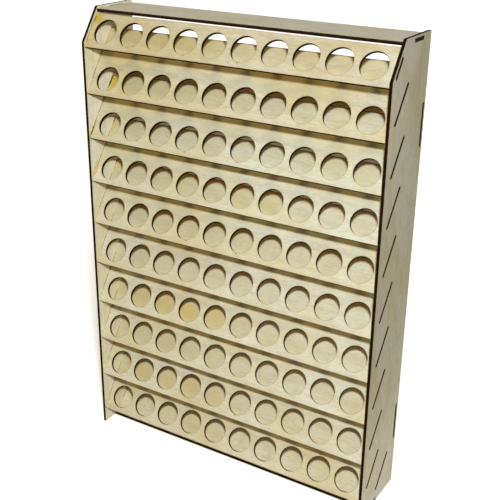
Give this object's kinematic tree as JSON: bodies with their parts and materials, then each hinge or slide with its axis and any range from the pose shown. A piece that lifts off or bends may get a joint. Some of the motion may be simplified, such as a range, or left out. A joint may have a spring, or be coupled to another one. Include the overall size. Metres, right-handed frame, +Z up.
{
  "type": "paint bottle rack",
  "caption": "Upright plywood rack: leaning sheets with rows of round bottle holes, tenoned into two side panels, each sheet backing up the row above it.",
  "frame": {"origin": "middle of the footprint, on the base", "axes": "+Z up, +Y to the back, +X to the right as seen from the front"},
  "size_m": [0.3324, 0.0786, 0.4755],
  "materials": {
    "sheet_ply": "bare sanded birch plywood, cut edges browned by the laser",
    "side_ply": "bare sanded birch plywood, cut edges browned by the laser",
    "tie_ply": "bare sanded birch plywood, cut edges browned by the laser"
  },
  "bodies": {
    "root": {"left_side_panel": "side_ply", "right_side_panel": "side_ply", "row_sheet_01": "sheet_ply", "row_sheet_02": "sheet_ply", "row_sheet_03": "sheet_ply", "row_sheet_04": "sheet_ply", "row_sheet_05": "sheet_ply", "row_sheet_06": "sheet_ply", "row_sheet_07": "sheet_ply", "row_sheet_08": "sheet_ply", "row_sheet_09": "sheet_ply", "row_sheet_10": "sheet_ply", "back_stop_sheet": "sheet_ply", "top_plate": "tie_ply", "bottom_rail": "tie_ply", "upper_back_brace": "tie_ply", "lower_back_brace": "tie_ply"}
  },
  "joints": []
}
